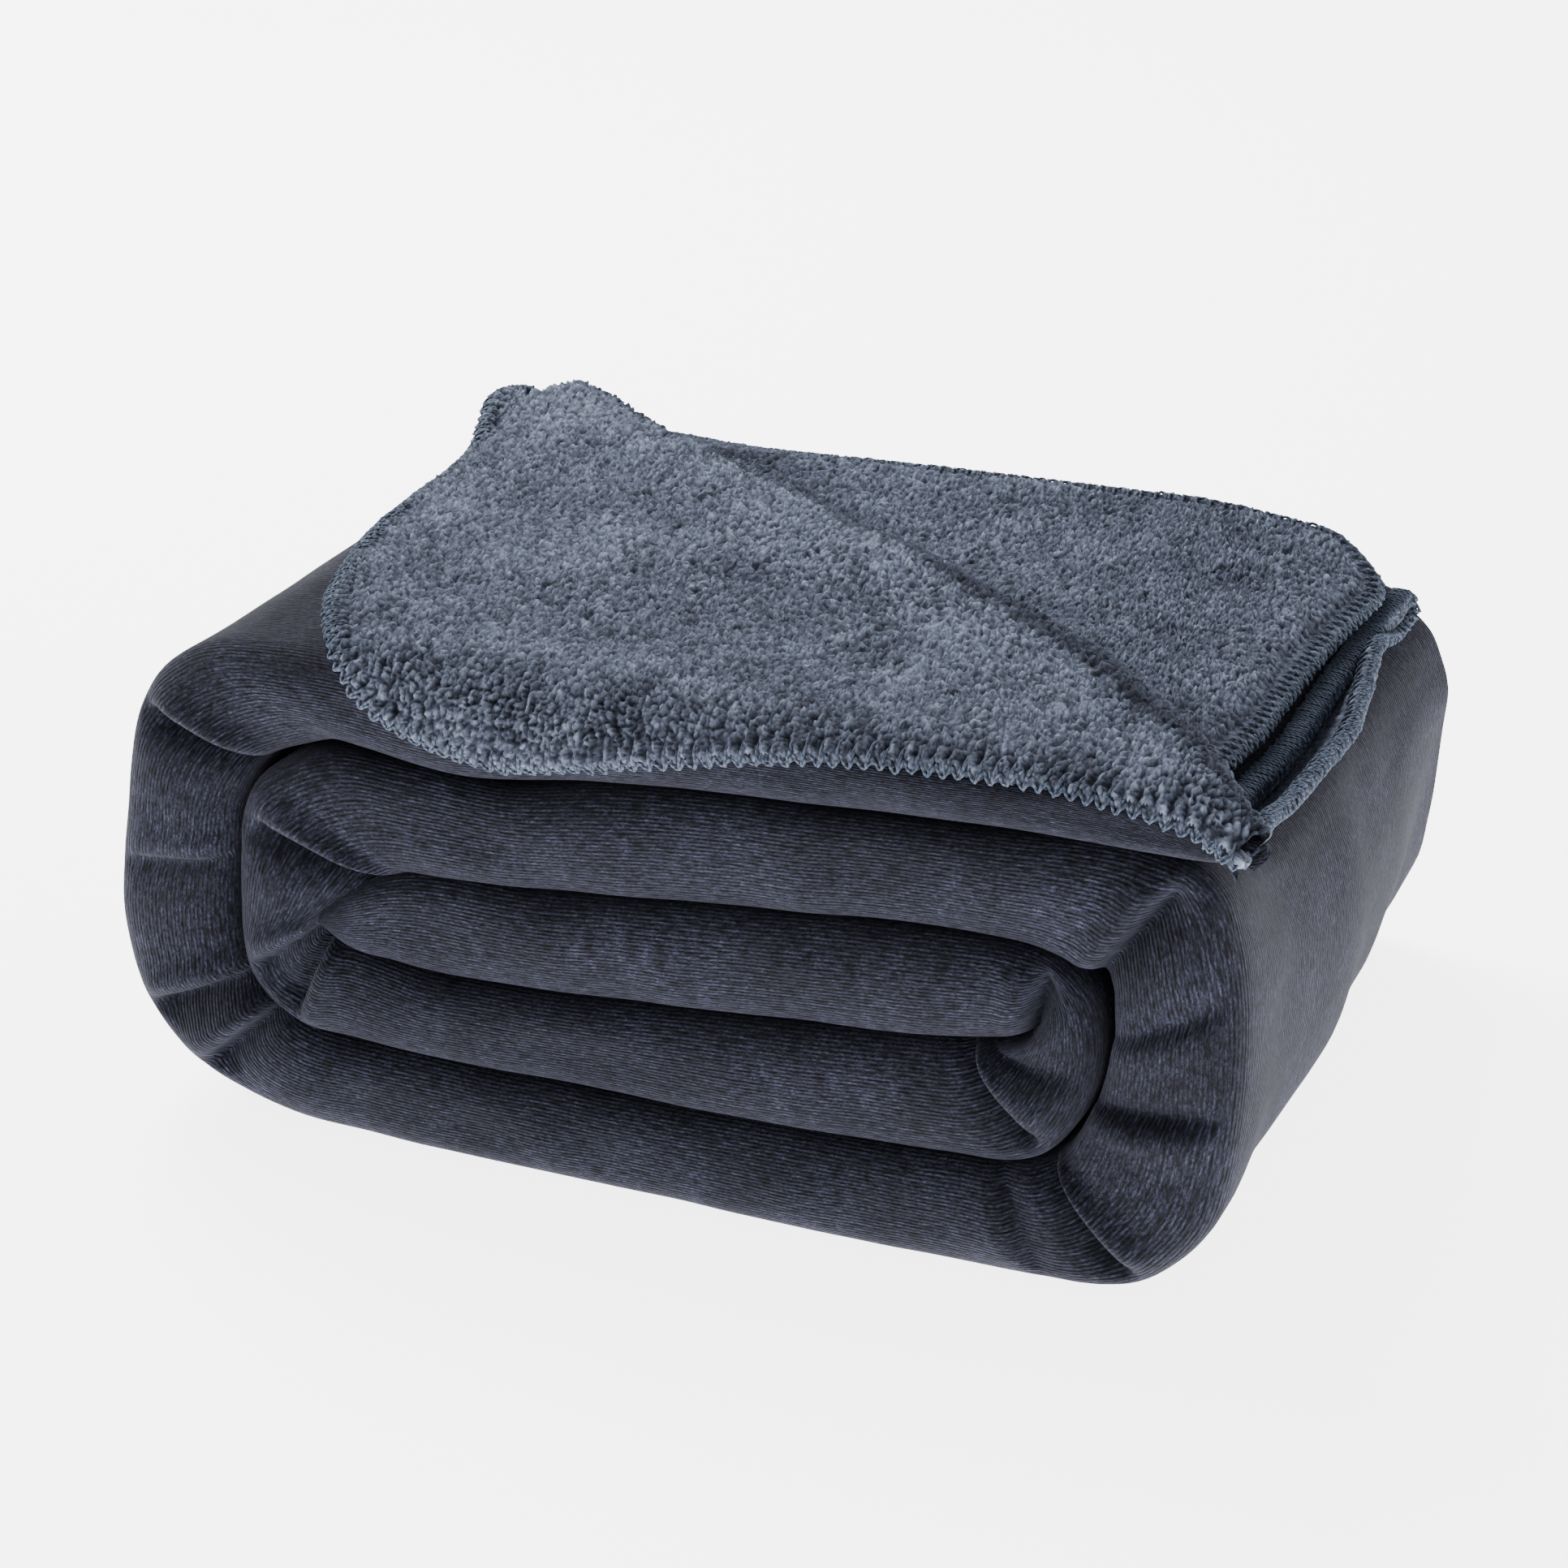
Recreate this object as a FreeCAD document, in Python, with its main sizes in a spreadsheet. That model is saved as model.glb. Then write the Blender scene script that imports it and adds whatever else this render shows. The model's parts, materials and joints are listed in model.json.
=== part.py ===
"""Folded throw blanket: a ribbed face cloth and a sherpa backing, joined by an overlocked edge yarn.

The throw is folded in quarters across its width, face cloth outwards, which makes a flat strip of four
plies. The strip is rolled flat into five layers, and one corner of its top ply is turned back over the
diagonal, sherpa side up. Millimetres, +Z up, X along the roll's layers, Y along the strip's depth, with
the strip's closed fold at -Y and its hems at +Y. The origin is the middle of the base.
"""

import FreeCAD
import Part

import itertools
import math
import os

import Sketcher

doc = FreeCAD.newDocument("folded_throw")

# ---------------------------------------------------------------- sizes

sheet = doc.addObject("Spreadsheet::Sheet", "Sizes")

DRIVING = [
    ("half_width", 228, "half of the roll's width"),
    ("pitch", 41, "height that one folded layer takes in the roll"),
    ("layer_gap", 1, "air between two layers"),
    ("half_depth", 166, "half of the strip's depth, from its closed fold to its hems"),
    ("skin", 3, "thickness of the ribbed face cloth"),
    ("inner_fold", 14, "pile between the outer fold and the inner fold at the front"),
    ("outer_end", 233, "where the strip's outer end lies"),
    ("inner_end", -139, "where the strip's inner end lies"),
    ("back_run", 415, "length of side hem on the turned-back corner"),
    ("overhang", 12, "how far the turned-back corner overhangs the closed fold"),
    ("corner_round", 40, "rounding of the blanket's corner"),
    ("play", 0.5, "clearance round the turned-back corner"),
    ("hem_radius", 1.5, "radius of the overlocked edge yarn"),
    ("beyond", 60, "how far a cutting outline runs past the cloth"),
    ("barrel_inset", 14, "how far the soft fold stops short of both edges"),
]

DERIVED = [
    ("layer", "pitch - layer_gap", "thickness of the folded strip"),
    ("ply", "layer / 4", "thickness of one ply, both cloths"),
    ("bend", "pitch / 2", "radius of the strip's middle line in a bend"),
    ("level_1", "layer / 2", "middle line of the bottom layer"),
    ("level_2", "level_1 + pitch", "middle line of the second layer"),
    ("level_3", "level_2 + pitch", "middle line of the third layer, where the roll starts"),
    ("level_4", "level_3 + pitch", "middle line of the fourth layer"),
    ("level_5", "level_4 + pitch", "middle line of the top layer"),
    ("top", "level_5 + layer / 2", "upper face of the top layer"),
    ("outer_turn", "half_width - bend - layer / 2", "centre line of the outer bends"),
    ("inner_turn", "outer_turn - pitch", "centre line of the inner bends"),
    ("centre_1", "level_1 + bend", "centre height of the bends at the bottom"),
    ("centre_2", "level_2 + bend", "centre height of the bends above them"),
    ("centre_4", "level_4 - bend", "centre height of the bends of the fourth layer"),
    ("centre_5", "level_5 - bend", "centre height of the bend of the top layer"),
    ("nose_line", "layer / 2 - half_depth", "centre line of the closed fold"),
    ("strip_low", "level_3 - layer / 2", "underside of the strip at its inner end"),
    ("strip_high", "level_3 + layer / 2", "upper side of the strip at its inner end"),
    ("core_low", "strip_low + skin", "underside of the pile"),
    ("core_high", "strip_high - skin", "upper side of the pile"),
    ("middle_low", "level_3 - skin", "underside of the two inner face plies"),
    ("middle_high", "level_3 + skin", "upper side of the two inner face plies"),
    ("core_back", "half_depth - skin", "where the pile meets the fold at the hem side"),
    ("middle_front", "inner_fold - half_depth", "front of the two inner face plies"),
    ("fold_radius", "ply - play", "radius of the soft fold that the corner turns on"),
    ("groove_radius", "fold_radius + play", "radius of the hollow that the soft fold lies in"),
    ("hinge_height", "top + play", "height of the line that the corner turns on"),
    ("corner_middle", "hinge_height + skin", "where the corner's two cloths meet"),
    ("pile_height", "ply - skin", "thickness of the sherpa on the corner"),
    ("fold_length", "sqrt(back_run ^ 2 + 4 * half_depth ^ 2)", "length of the diagonal fold"),
    ("run_x", "0 - back_run / fold_length", "direction of the diagonal fold, along X"),
    ("run_y", "2 * half_depth / fold_length", "direction of the diagonal fold, along Y"),
    ("fold_end", "outer_end - back_run", "where the diagonal fold meets the hem side"),
    ("hem_front", "0 - half_depth - overhang", "front hem of the turned-back corner"),
    ("mirror_x", "outer_end + 4 * half_depth * run_y * run_x", "turned-back corner point, X"),
    ("mirror_y", "4 * half_depth * run_y ^ 2 - 3 * half_depth", "turned-back corner point, Y"),
    ("hem_slope", "(fold_end - mirror_x) / (half_depth - mirror_y)", "slant of its side hem"),
    ("hem_left", "fold_end - hem_slope * (half_depth - hem_front)", "front end of its side hem"),
    ("top_hem_end", "fold_end - 2 * hem_radius", "where the top ply's side hem leaves the roll"),
]

ROWS = itertools.count(1)


def add_sizes(cells):
    """Writes (alias, number or formula, meaning) into the sheet's next rows."""
    for alias, value, meaning in cells:
        row = next(ROWS)
        sheet.set(f"A{row}", meaning)
        sheet.set(f"B{row}", str(value) if isinstance(value, (int, float)) else "=" + value)
        sheet.setAlias(f"B{row}", alias)
    doc.recompute()


add_sizes(DRIVING + DERIVED)


def size(name):
    """A size from the sheet, as a plain number. A leading minus turns its sign."""
    if name.startswith("-"):
        return -float(sheet.get(name[1:]))
    return float(sheet.get(name))


def formula(name):
    """The same size as an expression that a sketch or a feature can be bound to."""
    return f"-Sizes.{name[1:]}" if name.startswith("-") else f"Sizes.{name}"


# ---------------------------------------------------------------- helpers


def on_circle(centre, radius, angle):
    """The point of a circle at an angle in degrees."""
    turn = math.radians(angle)
    return centre + FreeCAD.Vector(math.cos(turn), math.sin(turn), 0) * radius


def arc(centre, radius, one, other):
    """The arc of a circle between two angles in degrees, in either order."""
    circle = Part.Circle(centre, FreeCAD.Vector(0, 0, 1), radius)
    return Part.ArcOfCircle(circle, math.radians(min(one, other)), math.radians(max(one, other)))


def new_body(name):
    body = doc.addObject("PartDesign::Body", name)
    body.Label = name
    return body


def new_sketch(body, name, plane, height=None):
    """An empty sketch on one of the body's own origin planes, raised along its normal by a size."""
    sketch = body.newObject("Sketcher::SketchObject", name)
    origin = next(f for f in body.Origin.OriginFeatures if f.Role == plane)
    sketch.AttachmentSupport = [(origin, "")]
    sketch.MapMode = "FlatFace"
    if height:
        sketch.setExpression("AttachmentOffset.Base.z", height)
    doc.recompute()
    return sketch


def bind(sketch, kind, places, name):
    """Adds a dimension to a sketch and binds it to a size."""
    value = size(name)
    index = sketch.addConstraint(Sketcher.Constraint(kind, *places, value))
    sketch.setExpression(f"Constraints[{index}]", formula(name))


def place(sketch, edge, end, point):
    """Binds one end of an edge to a point, given as the names of its two coordinates."""
    bind(sketch, "DistanceX", (-1, 1, edge, end), point[0])
    bind(sketch, "DistanceY", (-1, 1, edge, end), point[1])


def outline(sketch, points, nose=None):
    """A closed outline through points named by their coordinates. The stretch after the point numbered
    nose is a half circle about nose_line and level_3, and the others are straight."""
    corners = [FreeCAD.Vector(size(x), size(y), 0) for x, y in points]
    count = len(corners)
    for index, corner in enumerate(corners):
        following = corners[(index + 1) % count]
        if index == nose:
            centre = (corner + following) * 0.5
            sketch.addGeometry(arc(centre, corner.distanceToPoint(centre), 90, 270), False)
        else:
            sketch.addGeometry(Part.LineSegment(corner, following), False)
    for index in range(count):
        sketch.addConstraint(Sketcher.Constraint("Coincident", index, 2, (index + 1) % count, 1))
    for index, point in enumerate(points):
        place(sketch, index, 1, point)
    if nose is not None:
        bind(sketch, "DistanceX", (-1, 1, nose, 3), "nose_line")


def path(sketch, start, arcs, end):
    """A line of straight runs and tangent arcs, which starts and ends with a level run. start and end are
    the names of the two ends' first coordinate. An arc is its centre's two coordinates, its radius, the
    angles in degrees at which it is entered and left, and the sheet's name for each."""
    ends = []
    for centre_x, centre_y, radius, entered, left in arcs:
        centre = FreeCAD.Vector(size(centre_x), size(centre_y), 0)
        ends.append([on_circle(centre, radius, angle) for angle in (entered, left)])
    first = FreeCAD.Vector(size(start), ends[0][0].y, 0)
    last = FreeCAD.Vector(size(end), ends[-1][1].y, 0)
    edges = []
    here = first
    for (centre_x, centre_y, radius, entered, left), (into, out_of) in zip(arcs, ends):
        if here.distanceToPoint(into) > 1e-6:
            edges.append((sketch.addGeometry(Part.LineSegment(here, into), False), 1, 2))
        centre = FreeCAD.Vector(size(centre_x), size(centre_y), 0)
        edge = sketch.addGeometry(arc(centre, radius, entered, left), False)
        place(sketch, edge, 3, (centre_x, centre_y))
        sketch.addConstraint(Sketcher.Constraint("Radius", edge, radius))
        edges.append((edge, 1, 2) if left > entered else (edge, 2, 1))
        here = out_of
    edges.append((sketch.addGeometry(Part.LineSegment(here, last), False), 1, 2))
    for (one, _, one_end), (other, other_start, _) in zip(edges, edges[1:]):
        sketch.addConstraint(Sketcher.Constraint("Tangent", one, one_end, other, other_start))
    bind(sketch, "DistanceX", (-1, 1, edges[0][0], 1), start)
    bind(sketch, "DistanceX", (-1, 1, edges[-1][0], 2), end)
    sketch.addConstraint(Sketcher.Constraint("Horizontal", edges[0][0]))
    sketch.addConstraint(Sketcher.Constraint("Horizontal", edges[-1][0]))


def roll_path(sketch, offset, end):
    """The spiral that a line of the strip follows in the roll, offset outwards from its middle line."""
    radius = size("bend") + offset
    arcs = [
        ("inner_turn", "centre_2", radius, 90, -90),
        ("-inner_turn", "centre_2", radius, 270, 180),
        ("-inner_turn", "centre_4", radius, 180, 90),
        ("outer_turn", "centre_4", radius, 90, 0),
        ("outer_turn", "centre_1", radius, 0, -90),
        ("-outer_turn", "centre_1", radius, 270, 180),
        ("-outer_turn", "centre_5", radius, 180, 90),
    ]
    path(sketch, "inner_end", arcs, end)


def pipe(body, kind, name, profile, spine):
    """A profile carried along a path, added to the body or cut from it."""
    feature = body.newObject(f"PartDesign::{kind}", name)
    feature.Profile = profile
    feature.Spine = (spine, [f"Edge{n}" for n in range(1, len(spine.Shape.Edges) + 1)])
    doc.recompute()
    return feature


def slab(body, name, points, height, thickness):
    """A flat outline in plan, raised to a height and thickened upwards by a size."""
    sketch = new_sketch(body, name + "_outline", "XY_Plane", height)
    outline(sketch, points)
    pad = body.newObject("PartDesign::Pad", name)
    pad.Profile = sketch
    pad.setExpression("Length", thickness)
    doc.recompute()
    return pad


def barrel(body, kind, name, corners):
    """Turns a rectangle, whose first side lies on the diagonal fold, round that fold."""
    sketch = new_sketch(body, name + "_outline", "XY_Plane", "Sizes.hinge_height")
    outline(sketch, corners)
    feature = body.newObject(f"PartDesign::{kind}", name)
    feature.Profile = sketch
    feature.ReferenceAxis = (sketch, ["Edge1"])
    feature.Angle = 360
    doc.recompute()
    return feature


def along_fold(name, start, end, reach):
    """Adds the sheet's cells for a rectangle on the diagonal fold, and gives its corners. start and end
    are measured along the fold from the front, and reach away from it, over the ply underneath."""
    corners = []
    places = {"near": (start, "0"), "far": (end, "0"), "far_over": (end, reach), "near_over": (start, reach)}
    for corner, (run, out) in places.items():
        x = f"{name}_{corner}_x"
        y = f"{name}_{corner}_y"
        meaning = f"corner of the rectangle {name}"
        add_sizes(
            [
                (x, f"outer_end + ({run}) * run_x + ({out}) * run_y", meaning),
                (y, f"0 - half_depth + ({run}) * run_y - ({out}) * run_x", meaning),
            ]
        )
        corners.append((x, y))
    return corners

# ---------------------------------------------------------------- the rolled strip's outlines

STRIP = [
    ("half_depth", "strip_high"),
    ("nose_line", "strip_high"),
    ("nose_line", "strip_low"),
    ("half_depth", "strip_low"),
]
CORE = [
    ("half_depth", "core_high"),
    ("nose_line", "core_high"),
    ("nose_line", "core_low"),
    ("core_back", "core_low"),
    ("core_back", "middle_low"),
    ("middle_front", "middle_low"),
    ("middle_front", "middle_high"),
    ("half_depth", "middle_high"),
]
NOSE = 1

GROOVE = along_fold("groove", "0 - beyond", "fold_length + beyond", "groove_radius")
SOFT_FOLD = along_fold("soft_fold", "barrel_inset", "fold_length - barrel_inset", "fold_radius")
HOLLOW = along_fold("hollow", "0 - beyond", "fold_length + beyond", "fold_radius")
add_sizes(
    [
        ("far_x", "outer_end + 2 * beyond", "cutting corner past the strip's back, X"),
        ("far_y", "half_depth + 2 * beyond", "cutting corner past the strip's back, Y"),
    ]
)
OPENED = [
    GROOVE[0],
    GROOVE[1],
    ("far_x", "far_y"),
]


def strip_profile(body, name, points):
    sketch = new_sketch(body, name, "YZ_Plane", "Sizes.inner_end")
    outline(sketch, points, NOSE)
    return sketch


def strip_spine(body, name, offset=0.0, end="outer_end"):
    sketch = new_sketch(body, name, "XZ_Plane")
    roll_path(sketch, offset, end)
    return sketch


def open_corner(body):
    """Takes away the top ply that is turned back, and the hollow that the soft fold lies in."""
    sketch = new_sketch(body, body.Name + "_opened", "XY_Plane", "Sizes.top")
    outline(sketch, OPENED)
    pocket = body.newObject("PartDesign::Pocket", body.Name + "_opening")
    pocket.Profile = sketch
    pocket.setExpression("Length", "Sizes.ply")
    before = body.Shape.Volume
    doc.recompute()
    barrel(body, "Groove", body.Name + "_groove", GROOVE)
    assert body.Shape.Volume < before, f"nothing was cut from {body.Name}"


# ---------------------------------------------------------------- the roll


def face_cloth():
    """The ribbed cloth: outer side, closed fold, underside, back fold and the two plies in the middle."""
    body = new_body("face_cloth")
    spine = strip_spine(body, "face_spine")
    pipe(body, "AdditivePipe", "face_strip", strip_profile(body, "face_outline", STRIP), spine)
    pipe(body, "SubtractivePipe", "face_core", strip_profile(body, "face_core_outline", CORE), spine)
    open_corner(body)
    return body


def backing_cloth():
    """The sherpa: all the pile inside the strip, bare where the corner is turned back."""
    body = new_body("backing_cloth")
    spine = strip_spine(body, "backing_spine")
    pipe(body, "AdditivePipe", "backing_core", strip_profile(body, "backing_outline", CORE), spine)
    open_corner(body)
    return body


def yarn_outline(body, plane, height, centre):
    """The round cross-section of the edge yarn, at the start of its path."""
    sketch = new_sketch(body, body.Name + "_outline", plane, height)
    circle = Part.Circle(centre, FreeCAD.Vector(0, 0, 1), size("hem_radius"))
    bind(sketch, "Radius", (sketch.addGeometry(circle, False),), "hem_radius")
    doc.recompute()
    return sketch


def side_hem(name, plies_up, end):
    """The edge yarn along one side hem, which follows the roll at the height of its own ply."""
    offset = size("ply") * plies_up
    body = new_body(name)
    spine = strip_spine(body, name + "_spine", offset, end)
    centre = FreeCAD.Vector(size("half_depth") + size("hem_radius"), size("level_3") + offset, 0)
    sketch = yarn_outline(body, "YZ_Plane", "Sizes.inner_end", centre)
    pipe(body, "AdditivePipe", name + "_yarn", sketch, spine)
    return body


def end_hem(name, side, level, whole):
    """The edge yarn across one end of the strip. It runs to and fro along the hems of the plies. whole
    says if it follows the top ply too, or stops at the closed fold, where the turned corner takes over."""
    body = new_body(name)
    reach = size("ply") / 2
    middle = size(level)
    back = size("half_depth") - size("ply")
    front = size("middle_front")
    nose = size("nose_line")
    place_x = f"Sizes.{side[0]} {side[1]} Sizes.hem_radius"
    spine = new_sketch(body, name + "_spine", "YZ_Plane", place_x)
    runs = [
        (FreeCAD.Vector(front, middle, 0), reach, 90, 270),
        (FreeCAD.Vector(back, middle - 2 * reach, 0), reach, 90, -90),
        (FreeCAD.Vector(nose, middle, 0), 3 * reach, -90, -270 if whole else -180),
    ]
    here = FreeCAD.Vector(size("half_depth"), middle + reach, 0)
    for centre, radius, entered, left in runs:
        spine.addGeometry(Part.LineSegment(here, on_circle(centre, radius, entered)), False)
        spine.addGeometry(arc(centre, radius, entered, left), False)
        here = on_circle(centre, radius, left)
    last = FreeCAD.Vector(size("half_depth"), here.y, 0) if whole else here + FreeCAD.Vector(0, reach, 0)
    spine.addGeometry(Part.LineSegment(here, last), False)
    x_centre = size(side[0]) + size("hem_radius") * (1 if side[1] == "+" else -1)
    centre = FreeCAD.Vector(x_centre, middle + reach, 0)
    sketch = yarn_outline(body, "XZ_Plane", "-Sizes.half_depth", centre)
    pipe(body, "AdditivePipe", name + "_yarn", sketch, spine)
    return body


# ---------------------------------------------------------------- the turned-back corner

CORNER = [
    ("outer_end", "-half_depth"),
    ("outer_end", "hem_front"),
    ("hem_left", "hem_front"),
    ("fold_end", "half_depth"),
]


def round_corner(body):
    """Rounds the corner of the blanket, which is the upright edge at the slab's front left."""
    base = body.Tip
    names = []
    for number, edge in enumerate(base.Shape.Edges, start=1):
        middle = edge.valueAt((edge.FirstParameter + edge.LastParameter) / 2)
        upright = abs(edge.tangentAt(edge.FirstParameter).z) > 0.99
        at_corner = math.hypot(middle.x - size("hem_left"), middle.y - size("hem_front")) < 1
        if upright and at_corner:
            names.append(f"Edge{number}")
    fillet = body.newObject("PartDesign::Fillet", body.Name + "_round")
    fillet.Base = (base, names)
    fillet.setExpression("Radius", "Sizes.corner_round")
    doc.recompute()


def corner_face_cloth():
    """The ribbed side of the turned-back corner, which lies downwards on the roll."""
    body = new_body("corner_face_cloth")
    slab(body, "corner_face", CORNER, "Sizes.hinge_height", "Sizes.skin")
    round_corner(body)
    barrel(body, "Groove", "corner_face_hollow", HOLLOW)
    return body


def corner_backing_cloth():
    """The sherpa side of the turned-back corner, and the soft fold that it turns on."""
    body = new_body("corner_backing_cloth")
    slab(body, "corner_pile", CORNER, "Sizes.corner_middle", "Sizes.pile_height")
    round_corner(body)
    barrel(body, "Revolution", "corner_soft_fold", SOFT_FOLD)
    return body


def corner_hem_yarn():
    """The edge yarn along the turned-back corner: its front hem, the rounded corner and its side hem."""
    body = new_body("corner_hem_yarn")
    gap = size("hem_radius")
    bow = size("corner_round") + gap
    corner = FreeCAD.Vector(size("hem_left"), size("hem_front"), 0)
    side = FreeCAD.Vector(size("fold_end"), size("half_depth"), 0) - corner
    side.normalize()
    outwards = FreeCAD.Vector(-side.y, side.x, 0)
    half_turn = (math.pi - math.acos(side.x)) / 2
    tangent = size("corner_round") * math.tan(half_turn)
    centre = corner + FreeCAD.Vector(tangent, size("corner_round"), 0)
    meets_side = centre + outwards * bow
    meets_front = centre - FreeCAD.Vector(0, bow, 0)
    start = FreeCAD.Vector(size("outer_end"), meets_front.y, 0)
    fold_corner = FreeCAD.Vector(size("fold_end"), size("half_depth"), 0)
    end = fold_corner + outwards * gap - side * size("barrel_inset")
    spine = new_sketch(body, "corner_hem_spine", "XY_Plane", "Sizes.corner_middle")
    spine.addGeometry(Part.LineSegment(start, meets_front), False)
    side_angle = math.degrees(math.atan2(outwards.y, outwards.x)) % 360
    spine.addGeometry(arc(centre, bow, side_angle, 270), False)
    spine.addGeometry(Part.LineSegment(meets_side, end), False)
    centre = FreeCAD.Vector(meets_front.y, size("corner_middle"), 0)
    sketch = yarn_outline(body, "YZ_Plane", "Sizes.outer_end", centre)
    pipe(body, "AdditivePipe", "corner_hem", sketch, spine)
    return body


# ---------------------------------------------------------------- build, check and write

pieces = [
    face_cloth(),
    backing_cloth(),
    side_hem("side_hem_yarn_top_ply", 1.5, "top_hem_end"),
    side_hem("side_hem_yarn_second_ply", 0.5, "outer_end"),
    end_hem("outer_end_hem_yarn", ("outer_end", "+"), "level_5", whole=False),
    end_hem("inner_end_hem_yarn", ("inner_end", "-"), "level_3", whole=True),
    corner_face_cloth(),
    corner_backing_cloth(),
    corner_hem_yarn(),
]
doc.recompute()

for thing in doc.Objects:
    assert not {"Invalid", "Error"} & set(thing.State), f"{thing.Name} failed: {thing.State}"
for piece in pieces:
    assert not piece.Shape.isNull() and piece.Shape.isValid(), f"{piece.Label} has no sound shape"

os.makedirs("parts", exist_ok=True)
for piece in pieces:
    piece.Shape.exportStep(f"parts/{piece.Label}.step")
    print(piece.Label, len(piece.Shape.Solids), round(piece.Shape.Volume / 1000), "cm3")
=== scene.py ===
"""Looks of the folded throw blanket: ribbed flannel outside, sherpa pile inside, overlocked hems.

Lengths are metres in the part's own frame: X along the roll's layers, Y from the closed fold (front)
to the hems (back), Z up. Outlines in the XZ plane are written in millimetres, as (x, z).
"""

import json
import math

import bpy
import numpy as np
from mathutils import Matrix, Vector


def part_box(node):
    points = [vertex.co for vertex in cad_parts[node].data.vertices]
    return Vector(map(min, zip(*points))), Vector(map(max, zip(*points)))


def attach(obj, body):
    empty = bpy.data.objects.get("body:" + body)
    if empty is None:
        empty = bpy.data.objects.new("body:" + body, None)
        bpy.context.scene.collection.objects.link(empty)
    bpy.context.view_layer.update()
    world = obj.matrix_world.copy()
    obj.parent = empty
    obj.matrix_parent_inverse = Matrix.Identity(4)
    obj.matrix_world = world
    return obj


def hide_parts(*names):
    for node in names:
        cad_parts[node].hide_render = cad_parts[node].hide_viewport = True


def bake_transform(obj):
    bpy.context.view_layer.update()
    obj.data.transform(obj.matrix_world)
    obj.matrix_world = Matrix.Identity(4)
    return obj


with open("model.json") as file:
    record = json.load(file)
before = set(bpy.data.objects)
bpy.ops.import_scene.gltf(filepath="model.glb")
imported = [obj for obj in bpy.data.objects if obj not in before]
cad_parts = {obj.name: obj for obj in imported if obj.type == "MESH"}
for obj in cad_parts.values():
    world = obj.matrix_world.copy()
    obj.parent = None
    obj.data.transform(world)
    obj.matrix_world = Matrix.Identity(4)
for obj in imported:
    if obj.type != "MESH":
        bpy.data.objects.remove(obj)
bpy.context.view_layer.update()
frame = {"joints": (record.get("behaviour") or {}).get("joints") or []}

MM = 0.001
rng = np.random.default_rng(840)

# ---------------------------------------------------------------- places taken from the frame

face_low, face_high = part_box("face_cloth")
hinge = next(j for j in frame["joints"] if j["name"] == "corner_fold")
FOLD_START = np.array(hinge["pos_m"], float)
FOLD_RUN = np.array(hinge["axis"], float)
FOLD_RUN /= np.linalg.norm(FOLD_RUN)
FRONT = face_low[1]
BACK = face_high[1]
FOLD_LENGTH = (BACK - FRONT) / FOLD_RUN[1]

# The same places in millimetres, seen from above. OUT points across the fold, to the back right.
FOLD = FOLD_RUN[:2]
OUT = np.array([FOLD[1], -FOLD[0]])
START_MM = FOLD_START[:2] / MM
FOLD_MM = FOLD_LENGTH / MM
FRONT_MM, BACK_MM = FRONT / MM, BACK / MM

# ---------------------------------------------------------------- camera, light and floor


def camera():
    """The view: from the front right and above, with a long lens."""
    azimuth = math.radians(23.05)
    elevation = math.radians(25.62)
    distance = 1.931
    target = Vector((-0.0062, 0.0, 0.1059))
    away = Vector(
        (
            math.sin(azimuth) * math.cos(elevation),
            -math.cos(azimuth) * math.cos(elevation),
            math.sin(elevation),
        )
    )
    data = bpy.data.cameras.new("camera")
    data.sensor_width = 36.0
    data.lens = 110.0
    data.clip_start = 0.05
    data.clip_end = 50
    camera_object = bpy.data.objects.new("camera", data)
    camera_object.location = target + away * distance
    camera_object.rotation_euler = away.to_track_quat("Z", "Y").to_euler()
    bpy.context.collection.objects.link(camera_object)
    bpy.context.scene.camera = camera_object


def area_light(name, place, aim, size, power):
    data = bpy.data.lights.new(name, "AREA")
    data.shape = "DISK"
    data.size = size
    data.energy = power
    light = bpy.data.objects.new(name, data)
    light.location = place
    light.rotation_euler = (Vector(place) - Vector(aim)).to_track_quat("Z", "Y").to_euler()
    bpy.context.collection.objects.link(light)


def studio():
    """A pale floor in a pale room, with one large soft light high at the back left and a weak fill."""
    world = bpy.data.worlds.new("room")
    bpy.context.scene.world = world
    world.use_nodes = True
    background = world.node_tree.nodes["Background"]
    background.inputs["Color"].default_value = (0.93, 0.935, 0.94, 1)
    background.inputs["Strength"].default_value = 0.45
    area_light("key", (-1.1, 0.8, 1.9), (0, 0, 0.1), 1.6, 100)
    area_light("fill", (0.9, -2.0, 1.6), (0, 0, 0.1), 2.0, 5)
    bpy.ops.mesh.primitive_plane_add(size=40, location=(0, 0, -0.0005))
    floor = bpy.context.object
    floor.name = "floor"
    material = bpy.data.materials.new("pale_floor")
    material.use_nodes = True
    shader = material.node_tree.nodes["Principled BSDF"]
    shader.inputs["Base Color"].default_value = (0.95, 0.95, 0.95, 1)
    shader.inputs["Roughness"].default_value = 0.9
    shader.inputs["Emission Color"].default_value = (1, 1, 1, 1)
    shader.inputs["Emission Strength"].default_value = 4.5
    floor.data.materials.append(material)


camera()
studio()

# ---------------------------------------------------------------- numpy helpers


def hashed(cell, seed):
    """A repeatable number from 0 to 1 for each whole-number cell."""
    h = np.full(cell.shape[:-1], seed * 374761393 & 0xFFFFFFFF, np.uint64)
    for k, prime in enumerate((668265263, 2246822519, 3266489917)[: cell.shape[-1]]):
        h = (h ^ ((cell[..., k].astype(np.int64) & 0xFFFFFFFF).astype(np.uint64) * prime)) & 0xFFFFFFFF
        h = (h ^ (h >> np.uint64(15))) * np.uint64(2246822519) & np.uint64(0xFFFFFFFF)
        h = h ^ (h >> np.uint64(13))
    return (h & np.uint64(0xFFFFFF)).astype(float) / 0xFFFFFF


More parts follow.
